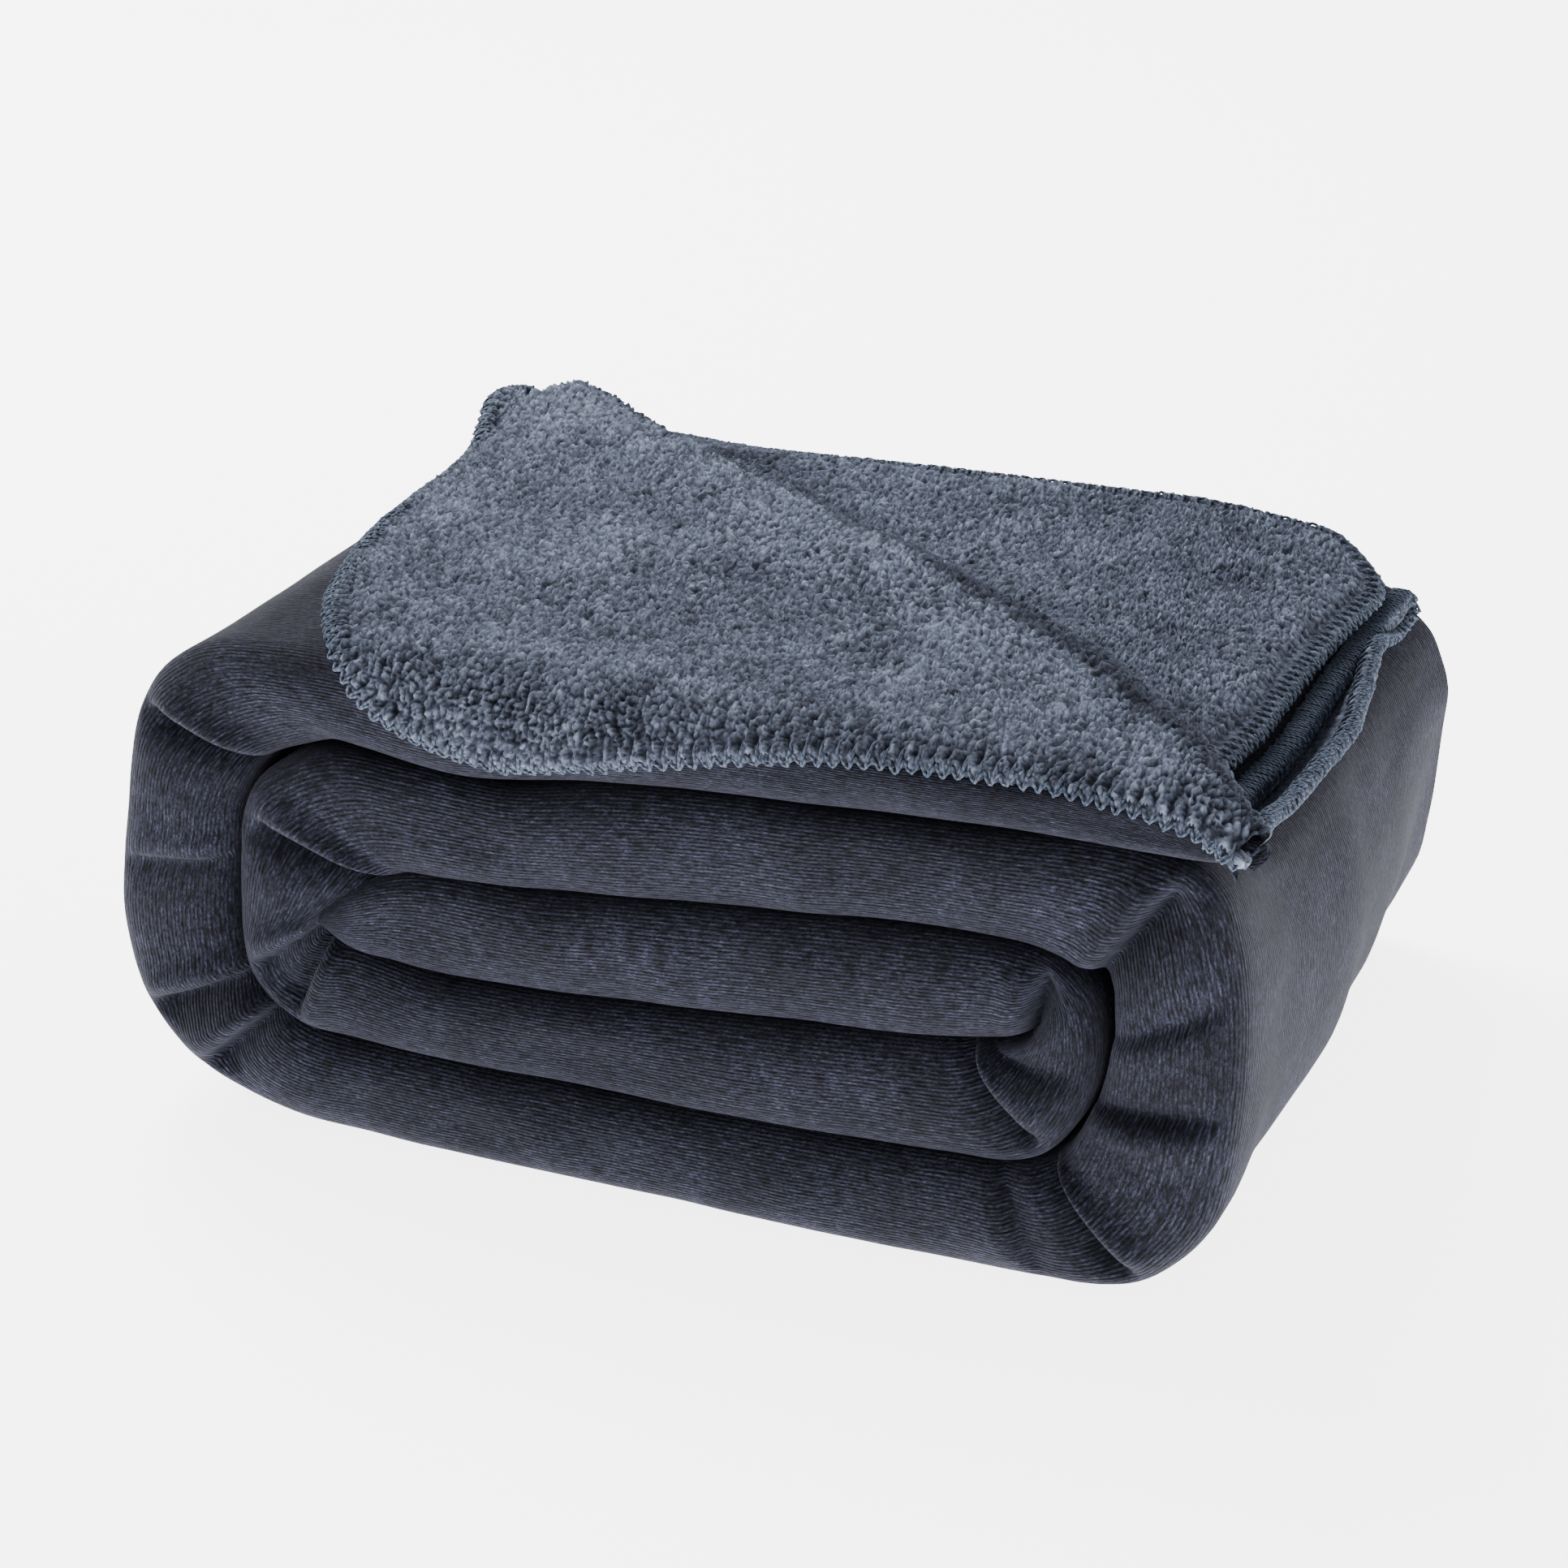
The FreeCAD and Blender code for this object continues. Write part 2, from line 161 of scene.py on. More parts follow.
def noise(points, size, seed=0):
    """Smooth noise from -1 to 1 that changes over the given size. Points have two or three columns."""
    p = np.asarray(points, float) / size
    low = np.floor(p).astype(np.int64)
    f = p - low
    f = f * f * (3 - 2 * f)
    total = np.zeros(p.shape[:-1])
    for corner in np.ndindex(*(2,) * p.shape[-1]):
        weight = np.ones(p.shape[:-1])
        for k, c in enumerate(corner):
            weight = weight * (f[..., k] if c else 1 - f[..., k])
        total += weight * hashed(low + np.array(corner), seed)
    return total * 2 - 1


def smooth_step(value, low, high):
    t = np.clip((np.asarray(value, float) - low) / (high - low), 0, 1)
    return t * t * (3 - 2 * t)


def spline(points, spacing):
    """Samples a smooth curve through the points, which may have any number of columns. The first two
    columns give the distance that the spacing is measured in."""
    points = np.asarray(points, float)
    padded = np.vstack([2 * points[0] - points[1], points, 2 * points[-1] - points[-2]])
    rows = []
    for a, b, c, d in zip(padded, padded[1:], padded[2:], padded[3:]):
        count = max(1, int(round(np.linalg.norm((c - b)[:2]) / spacing)))
        t = (np.arange(count) / count)[:, None]
        curve = 2 * b + (c - a) * t + (2 * a - 5 * b + 4 * c - d) * t**2 + (3 * b - a - 3 * c + d) * t**3
        rows.append(0.5 * curve)
    rows.append(points[-1:])
    return np.vstack(rows)


def grid_mesh(name, grid, material, keep=None, uv=None, attributes=None):
    """A piece from a grid of points, rows by columns. keep masks its quads, and uv is a grid of pairs."""
    rows, columns = grid.shape[:2]
    index = np.arange(rows * columns).reshape(rows, columns)
    quads = np.stack([index[:-1, :-1], index[:-1, 1:], index[1:, 1:], index[1:, :-1]], -1)
    quads = quads[keep] if keep is not None else quads.reshape(-1, 4)
    uv = None if uv is None else uv.reshape(-1, 2)
    return face_mesh(name, grid.reshape(-1, 3), quads, material, uv, attributes)


def face_mesh(name, points, quads, material, uv=None, attributes=None):
    """A smooth-shaded piece from points and four-cornered faces. Points on no face are left out."""
    used = np.unique(quads)
    renumber = np.full(len(points), -1)
    renumber[used] = np.arange(len(used))
    quads = renumber[quads]
    mesh = bpy.data.meshes.new(name)
    mesh.vertices.add(len(used))
    mesh.vertices.foreach_set("co", np.ascontiguousarray(points[used], np.float32).ravel())
    mesh.loops.add(quads.size)
    mesh.loops.foreach_set("vertex_index", quads.ravel().astype(np.int32))
    mesh.polygons.add(len(quads))
    mesh.polygons.foreach_set("loop_start", np.arange(0, quads.size, quads.shape[1], dtype=np.int32))
    mesh.update(calc_edges=True)
    mesh.polygons.foreach_set("use_smooth", np.ones(len(quads), bool))
    if uv is not None:
        layer = mesh.uv_layers.new(name="weave")
        layer.data.foreach_set("uv", uv[used][quads.ravel()].astype(np.float32).ravel())
    for label, values in (attributes or {}).items():
        layer = mesh.attributes.new(label, "FLOAT", "POINT")
        layer.data.foreach_set("value", np.asarray(values, np.float32).ravel()[used])
    mesh.validate()
    mesh.materials.append(material)
    piece = bpy.data.objects.new(name, mesh)
    bpy.context.collection.objects.link(piece)
    return piece


def linear(red, green, blue):
    """A colour given in display values from 0 to 255, as a shader wants it."""
    return [((c / 255 + 0.055) / 1.055) ** 2.4 if c > 10 else c / 3294 for c in (red, green, blue)] + [1]


# ---------------------------------------------------------------- materials


class Nodes:
    """A material with a Principled shader, and short ways to add and join its nodes."""

    def __init__(self, name):
        self.material = bpy.data.materials.new(name)
        self.material.use_nodes = True
        self.tree = self.material.node_tree
        self.shader = self.tree.nodes["Principled BSDF"]

    def add(self, kind, inputs=None, **settings):
        node = self.tree.nodes.new(kind)
        for key, value in settings.items():
            setattr(node, key, value)
        for key, value in (inputs or {}).items():
            self.feed(node.inputs[key], value)
        return node

    def feed(self, socket, value):
        if isinstance(value, bpy.types.NodeSocket):
            self.tree.links.new(value, socket)
        else:
            socket.default_value = value

    def math(self, operation, a, b=0.0, c=0.0):
        node = self.add("ShaderNodeMath", operation=operation)
        for socket, value in zip(node.inputs, (a, b, c)):
            self.feed(socket, value)
        return node.outputs[0]

    def noise(self, vector, scale, detail=2.0, roughness=0.5):
        node = self.add("ShaderNodeTexNoise", {"Scale": scale, "Detail": detail, "Roughness": roughness})
        self.feed(node.inputs["Vector"], vector)
        return node.outputs["Fac"]

    def ramp(self, factor, *stops):
        node = self.add("ShaderNodeValToRGB")
        self.feed(node.inputs["Fac"], factor)
        elements = node.color_ramp.elements
        while len(elements) < len(stops):
            elements.new(0.5)
        for element, (place, colour) in zip(elements, stops):
            element.position = place
            element.color = colour
        return node.outputs["Color"]

    def stretched(self, vector, x, y, z=1.0):
        node = self.add("ShaderNodeVectorMath", operation="MULTIPLY")
        self.feed(node.inputs[0], vector)
        node.inputs[1].default_value = (x, y, z)
        return node.outputs[0]

    def vary(self, colour, value, gain, centre=0.5, least=0.2):
        """The colour made lighter where a value is over its centre and darker where it is under."""
        amount = self.math("MULTIPLY_ADD", value, gain, 1 - gain * centre)
        amount = self.math("MAXIMUM", amount, least)
        node = self.add("ShaderNodeVectorMath", {0: colour, "Scale": amount}, operation="SCALE")
        return node.outputs[0]

    def bump(self, height, distance, strength=1.0, under=None):
        node = self.add("ShaderNodeBump", {"Distance": distance, "Strength": strength})
        self.feed(node.inputs["Height"], height)
        if under is not None:
            self.feed(node.inputs["Normal"], under)
        return node.outputs["Normal"]

    def finish(self, colour, roughness, normal=None, sheen=0.0, sheen_roughness=0.5, tint=(1, 1, 1, 1)):
        self.feed(self.shader.inputs["Base Color"], colour)
        self.feed(self.shader.inputs["Roughness"], roughness)
        self.shader.inputs["Specular IOR Level"].default_value = 0.15
        self.shader.inputs["Sheen Weight"].default_value = sheen
        self.shader.inputs["Sheen Roughness"].default_value = sheen_roughness
        self.shader.inputs["Sheen Tint"].default_value = tint
        if normal is not None:
            self.feed(self.shader.inputs["Normal"], normal)
        return self.material


RIB_PITCH = 0.0019


def ribbed_flannel():
    """Brushed flannel with fine ribs that run along the strip. The uv map 'weave' is in metres."""
    n = Nodes("ribbed_flannel")
    uv = n.add("ShaderNodeUVMap", uv_map="weave").outputs["UV"]
    across = n.add("ShaderNodeSeparateXYZ", {"Vector": uv}).outputs["Y"]
    wander = n.noise(n.stretched(uv, 30, 120), 1.0, 2.0)
    phase = n.math("MULTIPLY_ADD", across, 2 * math.pi / RIB_PITCH, n.math("MULTIPLY", wander, 1.5))
    wave = n.math("MULTIPLY_ADD", n.math("SINE", phase), 0.5, 0.5)
    rib = n.math("POWER", wave, 0.7)
    heather = n.noise(n.stretched(uv, 560, 1300), 1.0, 3.0, 0.7)
    slubs = n.noise(n.stretched(uv, 170, 560), 1.0, 2.0, 0.5)
    blotch = n.noise(n.stretched(uv, 32, 16), 1.0, 3.0, 0.6)
    fuzz = n.noise(n.stretched(uv, 2600, 2600), 1.0, 2.0, 0.7)
    colour = n.ramp(blotch, (0.3, linear(22, 23, 32)), (0.5, linear(27, 28, 38)), (0.7, linear(35, 36, 48)))
    colour = n.vary(colour, heather, 7.0)
    colour = n.vary(colour, slubs, 4.4)
    # Painted shade in the ribs' grooves: the crests lighter, the grooves darker.
    colour = n.vary(colour, rib, 0.75, 0.6)
    normal = n.bump(rib, 0.0006, 0.55)
    normal = n.bump(heather, 0.0005, 0.5, normal)
    normal = n.bump(fuzz, 0.0003, 0.5, normal)
    return n.finish(colour, 0.92, normal, 0.14, 0.42, linear(150, 150, 172))


def sherpa():
    """Curly pile with painted shade. The 'tip' attribute runs from 0 in the crevices to 1 on the tips of the
    tufts, and is lowered where the pieces paint shade; the colour is painted near black where it is low.
    """
    n = Nodes("sherpa_pile")
    uv = n.add("ShaderNodeUVMap", uv_map="weave").outputs["UV"]
    tip_and_shade = n.add("ShaderNodeAttribute", attribute_name="tip_and_shade").outputs["Fac"]
    drift = n.add("ShaderNodeTexNoise", {"Scale": 130.0, "Detail": 2.0, "Vector": uv}).outputs["Color"]
    drift = n.stretched(drift, 0.006, 0.006, 0.0)
    moved = n.add("ShaderNodeVectorMath", {0: uv, 1: drift}, operation="ADD").outputs[0]
    tuft = n.add("ShaderNodeTexVoronoi", {"Vector": n.stretched(moved, 520, 235), "Scale": 1.0})
    tuft_tone = n.add("ShaderNodeSeparateColor", {0: tuft.outputs["Color"]}).outputs[0]
    tuft_top = n.math("SUBTRACT", 1.0, tuft.outputs["Distance"])
    strands = n.noise(n.stretched(moved, 1500, 600), 1.0, 3.0, 0.7)
    blotch = n.noise(uv, 26, 3.0, 0.55)
    # Painted shade: near black in the crevices and shaded places, lightest on the tufts' tips.
    colour = n.ramp(
        tip_and_shade, (0.06, linear(16, 18, 25)), (0.35, linear(50, 54, 66)), (0.62, linear(84, 90, 105)),
        (0.95, linear(116, 124, 142)),
    )
    colour = n.vary(colour, strands, 1.6)
    # Painted shade between the tufts: their tops lighter, the gaps between them darker.
    colour = n.vary(colour, tuft_top, 1.3, 0.62)
    colour = n.vary(colour, tuft_tone, 0.35)
    colour = n.vary(colour, blotch, 0.6)
    normal = n.bump(tuft_top, 0.0018, 0.7)
    normal = n.bump(strands, 0.0008, 0.7, normal)
    return n.finish(colour, 0.95, normal, 0.25, 0.5, linear(150, 160, 185))


def edge_yarn():
    """Soft twisted overlock yarn. The uv map 'weave' runs along each strand, in metres."""
    n = Nodes("edge_yarn")
    uv = n.add("ShaderNodeUVMap", uv_map="weave").outputs["UV"]
    parts = n.add("ShaderNodeSeparateXYZ", {"Vector": uv})
    around = n.math("MULTIPLY", parts.outputs["Y"], 2 * math.pi)
    turn = n.math("MULTIPLY_ADD", parts.outputs["X"], 2600.0, around)
    twist = n.math("MULTIPLY_ADD", n.math("SINE", turn), 0.5, 0.5)
    place = n.add("ShaderNodeTexCoord").outputs["Object"]
    fuzz = n.noise(place, 1800, 3.0, 0.7)
    blotch = n.noise(place, 60, 2.0)
    colour = n.ramp(blotch, (0.3, linear(60, 67, 81)), (0.7, linear(80, 88, 104)))
    # Painted shade in the grooves of the twist.
    colour = n.vary(colour, twist, 0.7)
    colour = n.vary(colour, fuzz, 1.2)
    normal = n.bump(n.math("MULTIPLY_ADD", fuzz, 0.5, twist), 0.0004, 0.8)
    return n.finish(colour, 0.9, normal, 0.3, 0.5, linear(150, 165, 185))


RIBBED = ribbed_flannel()
SHERPA = sherpa()
YARN = edge_yarn()

# ---------------------------------------------------------------- the spiral of layers


class Lane:
    """The strip seen from the front, rolled up: its two edges in the XZ plane, from its inner end to its
    outer end, one (outside x, z, inside x, z, crease) at each station, in millimetres. The outside is
    towards the outside of the roll, and a crease is the depth of a pinch across the nose there."""

    STATIONS = (
        # innermost layer, to the right, with its end tapered
        (-131, 100, -129, 93, 0), (-126, 106, -122, 85, 0), (-103, 119, -100, 80, 0), (-44, 124, -44, 80, 0),
        (16, 130, 16, 85, 0), (70, 136, 70, 90, 0), (101, 139, 101, 92, 0), (130, 141, 127, 96, 0),
        # first bend on the right, down
        (152, 142, 145, 100, 0), (166, 138, 160, 106, -7), (178, 128, 157, 102, 0), (184, 112, 149, 99, 0),
        (183, 90, 142, 97, 3), (176, 70, 138, 96, 0), (166, 56, 134, 95, -10), (153, 49, 124, 95, 0),
        # second layer, to the left
        (130, 47, 112, 94, 0), (90, 45, 82, 91, 0), (39, 43, 39, 87, 0), (-12, 43, -11, 82, 0),
        (-63, 42, -62, 79, 0), (-100, 42, -95, 80, 0), (-124, 43, -114, 83, 0), (-140, 43, -124, 86, 0),
        # bend on the left, up
        (-150, 46, -130, 88, -9), (-160, 53, -131, 90, 0), (-167, 62, -131, 93, 7), (-170, 76, -130, 97, 0),
        (-171, 98, -120, 103, 0), (-170, 118, -110, 112, 0), (-168, 133, -104, 118, 11),
        (-162, 147, -99, 119, 0),
        # third layer, to the right
        (-148, 159, -93, 120, 0), (-128, 168, -84, 120, 0), (-100, 168, -70, 121, 0), (-60, 166, -46, 123, 0),
        (-9, 175, 0, 128, 0), (72, 182, 72, 136, 0), (120, 185, 110, 140, 0), (152, 187, 135, 141, 0),
        # outer bend on the right, down
        (182, 189, 157, 140, 0), (206, 188, 173, 136, 0), (219, 184, 183, 134, -9), (228, 175, 187, 128, 0),
        (234, 158, 188, 120, 0), (238, 135, 188, 108, 3), (239, 110, 186, 95, 0), (238, 85, 182, 80, 5),
        (235, 60, 177, 68, 0), (229, 37, 173, 60, 0), (218, 21, 170, 56, 2), (204, 9, 167, 53, -10),
        # bottom layer, to the left
        (190, 4, 160, 50, 0), (168, 2, 148, 48, 3), (130, 1, 118, 46, 0), (39, 1, 39, 43, 0),
        (-63, 1, -63, 42, 0), (-116, 1, -108, 43, 0), (-150, 3, -134, 44, 0),
        # outer bend on the left, up
        (-172, 8, -146, 47, 0), (-190, 15, -154, 51, 9), (-204, 26, -161, 56, 0), (-214, 39, -167, 62, 8),
        (-220, 54, -171, 72, 0), (-223, 69, -173, 84, 0), (-224, 85, -173, 98, 0), (-222, 105, -172, 112, 3),
        (-219, 125, -171, 124, 0), (-217, 145, -170, 134, 0), (-214, 161, -166, 145, 0),
        (-209, 175, -158, 157, 11), (-202, 187, -150, 162, 0),
        # top layer, to the right
        (-192, 196, -140, 166, 0), (-178, 203, -126, 171, 0), (-150, 207, -108, 170, 0),
        (-100, 208, -73, 166, 0), (-9, 209, -9, 175, 0), (72, 210, 72, 182, 0), (150, 211, 150, 187, 0),
        (200, 209, 205, 188, 0), (222, 205, 225, 189, 0), (233, 200, 234, 191, 0),
    )
    SPACING = 4.0

    def __init__(self):
        rows = np.array(self.STATIONS, float)
        middle = (rows[:, :2] + rows[:, 2:4]) / 2
        step = 0.5 * np.linalg.norm(np.diff(rows[:, :2], axis=0), axis=1)
        step += 0.5 * np.linalg.norm(np.diff(rows[:, 2:4], axis=0), axis=1)
        step = np.maximum(step, np.linalg.norm(np.diff(middle, axis=0), axis=1))
        self.at = np.concatenate([[0], np.cumsum(step)])
        self.rows = rows
        self.length = self.at[-1]
        self.creases = [(place, row[4]) for place, row in zip(self.at, rows) if row[4]]
        self.tangents = np.gradient(rows[:, :4], self.at, axis=0)

    def edges(self, s):
        """The outside and inside points at each distance along the strip, by cubic pieces."""
        s = np.clip(s, 0, self.length - 1e-6)
        k = np.clip(np.searchsorted(self.at, s, "right") - 1, 0, len(self.at) - 2)
        gap = self.at[k + 1] - self.at[k]
        t = ((s - self.at[k]) / gap)[..., None]
        gap = gap[..., None]
        a, b = self.rows[k, :4], self.rows[k + 1, :4]
        ta, tb = self.tangents[k] * gap, self.tangents[k + 1] * gap
        p = (2 * t**3 - 3 * t**2 + 1) * a + (t**3 - 2 * t**2 + t) * ta
        p += (3 * t**2 - 2 * t**3) * b + (t**3 - t**2) * tb
        return p[..., :2], p[..., 2:]

    def pinch(self, s, w):
        """How far the nose is pressed in by the creases at (s, w). Each is a lip: steep on the side that
        laps over, which a positive crease has towards the outer end, and a slow rise on the other."""
        dip = np.zeros(np.broadcast(s, w).shape)
        for place, depth in self.creases:
            d = (s - place) * np.sign(depth)
            size = abs(depth)
            reach = smooth_step(w, 0.02, 0.3)
            fall = np.where(d > 0, np.exp(-((d / 2.6) ** 2)), np.exp(-((np.maximum(-d, 0) / 8.0) ** 1.3)))
            dip += 1.6 * size * reach * fall
            dip -= 0.5 * size * reach * np.exp(-(((d - 9) / 5.5) ** 2))
        return dip

    def rows_at(self, spacing):
        """Places along the strip at about the spacing, and closer at the creases."""
        fine = np.arange(0, self.length, 0.5)
        near = np.min([np.abs(fine - place) for place, _ in self.creases], axis=0)
        density = np.where(near < 11, 2.2, 1.0)
        total = np.concatenate([[0], np.cumsum(density * 0.5)])
        count = int(total[-1] / spacing)
        return np.interp(np.linspace(0, total[-1], count), total, np.append(fine, self.length))


LANE = Lane()
NOSE = 19.0  # depth of the closed fold's round front
CORNER = 42.0  # rounding of the second ply's corner


def relax(points):
    """Bends the whole roll a little, in millimetres: its right shoulder sinks behind the front edge, and
    its sides wave."""
    x, y, z = points[..., 0], points[..., 1], points[..., 2]
    slope = 17 * np.clip((y + 165) / 230, 0, 1) ** 0.8
    shoulder = 15 * smooth_step(x, 110, 215) * smooth_step(y, -152, -70)
    shoulder = shoulder * (1 - 0.7 * smooth_step(z, 190, 209))
    out = points.copy()
    out[..., 2] = z - smooth_step(z, 90, 185) * (slope + shoulder)
    wave = noise(np.stack([x * 0.4, y, z], -1), 75, 3) * 3.2
    wave = wave + noise(np.stack([x, y, z], -1), 34, 5) * 1.3
    side = smooth_step(np.abs(x), 120, 210) * np.sign(x)
    narrow = (4 * smooth_step(y, -150, -60) + 13 * smooth_step(y, -60, 165)) * smooth_step(x, 40, 200)
    out[..., 0] = x + side * wave * smooth_step(y, -165, -120) - narrow
    return out


def layered(s, w, y):
    """Points in millimetres at distances s along the strip, fractions w from its outside to its inside
    surface and depths y. The arrays are broadcast together."""
    s, w, y = np.broadcast_arrays(np.asarray(s, float), w, y)
    outside, inside = LANE.edges(s)
    flat = outside * (1 - w[..., None]) + inside * w[..., None]
    return relax(np.stack([flat[..., 0], y, flat[..., 1]], -1))


def end_shift(w, y):
    """How far each ply's outer end is drawn back from the strip's end: the upper plies most, and none at
    the front nose."""
    middle = np.interp(w, [0, 0.47, 0.53, 0.76, 0.78, 1.0], [29, 29, 19, 19, 1, 0])
    rear = np.interp(w, [0, 0.47, 0.53, 0.76, 0.78, 1.0], [19, 19, 14, 14, 13, 13])
    blend = smooth_step(y, 0, BACK_MM - 20)
    return (middle * (1 - blend) + rear * blend) * smooth_step(y, FRONT_MM + 8, FRONT_MM + 70)


def end_bend(s, w, y):
    """How far each ply's outer end rises: the lowest ply's rim curls up past a trough, the third ply's
    end hangs, and at the back they all droop."""
    open_part = smooth_step(y, FRONT_MM + 14, FRONT_MM + 70)
    open_part = open_part * (1 - smooth_step(y, BACK_MM - 75, BACK_MM - 25))
    tail = s - LANE.length
    rim = 8 * smooth_step(tail, -16, 0) - 5 * smooth_step(tail, -75, -30) * (1 - smooth_step(tail, -16, 0))
    hanging = -3.5 * smooth_step(tail, -26, 0)
    lip = -3 * smooth_step(tail, -14, 0)
    share = np.interp(w, [0.0, 0.2, 0.47, 0.5, 0.76, 0.78, 1.0], [0, 1, 1, 2, 2, 3, 3])
    amount = np.where(share < 1.5, np.minimum(share, 1) * lip, np.where(share < 2.5, hanging, rim))
    droop = 5 * smooth_step(tail, -34, 0) * smooth_step(y, BACK_MM - 80, BACK_MM - 20)
    return amount * open_part - droop


def strip_points(s, w, y):
    """Points in millimetres on the strip, with its outer ends drawn back and bent."""
    s, w, y = np.broadcast_arrays(np.asarray(s, float), w, y)
    pulled = smooth_step(s, LANE.length - 140, LANE.length) * end_shift(w, y)
    points = layered(s - pulled, w, y)
    points[..., 2] += end_bend(s, w, y)
    return points


def strip_grid(section, rows):
    """Points for a section, given as columns (w, y, depth of the nose) along u, at every row s."""
    w, y, nose = (np.asarray(column, float)[None, :] for column in zip(*section))
    s = rows[:, None]
    crush = LANE.pinch(s, w) * nose
    swell = noise(np.stack([s + 0 * w, 60 * w + 0 * s], -1), 26, 11) * 1.6 * nose
    second = (w > 0.25) & (w < 0.47) & (y > 60)
    rounded = CORNER - np.sqrt(np.maximum(CORNER**2 - np.maximum(CORNER - (LANE.length - s), 0) ** 2, 0))
    y = y - second * rounded * smooth_step(y, 60, BACK_MM - 3)
    return strip_points(s, w, y + crush + swell)


def arc_section(w_from, w_to, y_edge, depth, count, power=2.0, sense=1):
    """The columns of a fold between two w, that reaches to y_edge and is depth deep."""
    t = np.linspace(0, math.pi, count)
    share = (1 - np.cos(t)) / 2
    bulge = np.abs(np.cos(t)) ** power
    bulge = 1 - (1 - bulge) ** (1 / power)
    return [(w_from + (w_to - w_from) * a, y_edge + sense * depth * b, 1 - b) for a, b in zip(share, bulge)]


def run(w, y_from, y_to, step):
    count = max(2, int(abs(y_to - y_from) / step))
    return [(w, y, 0.0) for y in np.linspace(y_from, y_to, count)]


def distance_along(grid):
    """The distance along each row of a grid, column by column, in millimetres, from a typical row."""
    row = grid[len(grid) // 2]
    return np.concatenate([[0], np.cumsum(np.linalg.norm(np.diff(row, axis=0), axis=1))])


FACE_SECTION = (
    run(0.0, BACK_MM, FRONT_MM + NOSE, 7)
    + arc_section(0.0, 1.0, FRONT_MM, NOSE, 27, 2.5)[1:-1]
    + run(1.0, FRONT_MM + NOSE, BACK_MM - 12, 18)
    + arc_section(1.0, 0.54, BACK_MM - 2, 10, 9, sense=-1)[1:-1]
    + run(0.54, BACK_MM - 12, FRONT_MM + 30, 22)
    + arc_section(0.54, 0.46, FRONT_MM + 27, 3, 5)[1:-1]
    + run(0.46, FRONT_MM + 30, BACK_MM - 3, 22)
)
PILE_SECTION = (
    run(0.2, BACK_MM - 1, FRONT_MM + NOSE, 10)
    + arc_section(0.2, 0.8, FRONT_MM + 8, 10, 9)[1:-1]
    + run(0.8, FRONT_MM + NOSE, BACK_MM - 12, 12)
    + arc_section(0.8, 0.74, BACK_MM - 12, 4, 5, sense=-1)[1:-1]
    + run(0.74, BACK_MM - 14, FRONT_MM + 30, 14)
    + arc_section(0.74, 0.26, FRONT_MM + 20, 8, 9)[1:-1]
    + run(0.26, FRONT_MM + 30, BACK_MM - 4, 14)
)


def beyond_fold(points):
    """Which points, in millimetres, lie behind the diagonal fold of the top ply."""
    return (points[..., :2] - START_MM) @ OUT > 0


def to_hem(s, y):
    """The distance of each place on the second ply from its hems, round its corner, and the distance
    along them."""
    from_end = LANE.length - s
    from_back = BACK_MM - 3 - y
    inset = np.hypot(np.maximum(CORNER - from_end, 0), np.maximum(CORNER - from_back, 0))
    in_corner = (from_end < CORNER) & (from_back < CORNER)
    away = np.where(in_corner, CORNER - inset, np.minimum(from_end, from_back))
    return away, np.where(from_end < from_back, y, s)


def roll_cloths():
    """The ribbed face and the pile backing, each one sheet through every layer and ply."""
    made = []
    for name, section, material, spacing in (
        ("blanket_face", FACE_SECTION, RIBBED, Lane.SPACING),
        ("blanket_backing", PILE_SECTION, SHERPA, 2.5 * Lane.SPACING),
    ):
        s = LANE.rows_at(spacing)
        grid = strip_grid(section, s)
        u = distance_along(grid)
        uv = np.stack(np.broadcast_arrays(s[:, None] * MM, u[None, :] * MM), -1)
        top_ply = np.array([w < 0.25 and not nose for w, _, nose in section])
        middle = (grid[:-1, :-1] + grid[1:, 1:]) / 2
        on_top = (s[:-1, None] > LANE.length - 470) & top_ply[None, :-1]
        first = np.argmax(~top_ply)
        on_top[:, first:] = False
        keep = ~(on_top & beyond_fold(middle))
        tip_and_shade = {"tip_and_shade": np.full(grid.shape[:2], 0.55)} if material is SHERPA else None
        made.append(grid_mesh(name, grid * MM, material, keep, uv, tip_and_shade))
    return made


face, backing = roll_cloths()
for cloth, slot in ((face, "ribbed_flannel"), (backing, "sherpa_pile")):
    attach(cloth, "roll")

# ---------------------------------------------------------------- pile


def tufts(u, v, size, seed):
    """The height from 0 to 1 of curly tufts about the given size on a flat surface. u and v are in the
    same unit as size."""
    lean = math.pi / 2 + noise(np.stack([u, v], -1), 14 * size, seed) * 1.1
    u = u + 0.45 * size * noise(np.stack([u, v], -1), 1.7 * size, seed + 1)
    v = v + 0.45 * size * noise(np.stack([u, v], -1), 1.7 * size, seed + 2)
    a, b = u / (0.8 * size), v / (1.15 * size)
    low_a, low_b = np.floor(a).astype(np.int64), np.floor(b).astype(np.int64)
    nearest = np.full(u.shape, 9.0)
    second = np.full(u.shape, 9.0)
    tall = np.zeros(u.shape)
    for i in (-1, 0, 1):
        for j in (-1, 0, 1):
            cell = np.stack([low_a + i, low_b + j], -1)
            da = low_a + i + 0.15 + 0.7 * hashed(cell, seed + 3) - a
            db = low_b + j + 0.15 + 0.7 * hashed(cell, seed + 4) - b
            along = da * np.cos(lean) + db * np.sin(lean)
            aside = db * np.cos(lean) - da * np.sin(lean)
            d = np.sqrt((along * 0.6) ** 2 + (aside * 1.35) ** 2)
            closer = d < nearest
            second = np.where(closer, nearest, np.minimum(second, d))
            tall = np.where(closer, hashed(cell, seed + 5), tall)
            nearest = np.where(closer, d, nearest)
    round_top = np.sqrt(np.clip(1 - (nearest / 0.78) ** 2, 0, 1))
    gap = smooth_step(second - nearest, 0.0, 0.32)
    return round_top * (0.35 + 0.65 * gap) * (0.62 + 0.38 * tall)


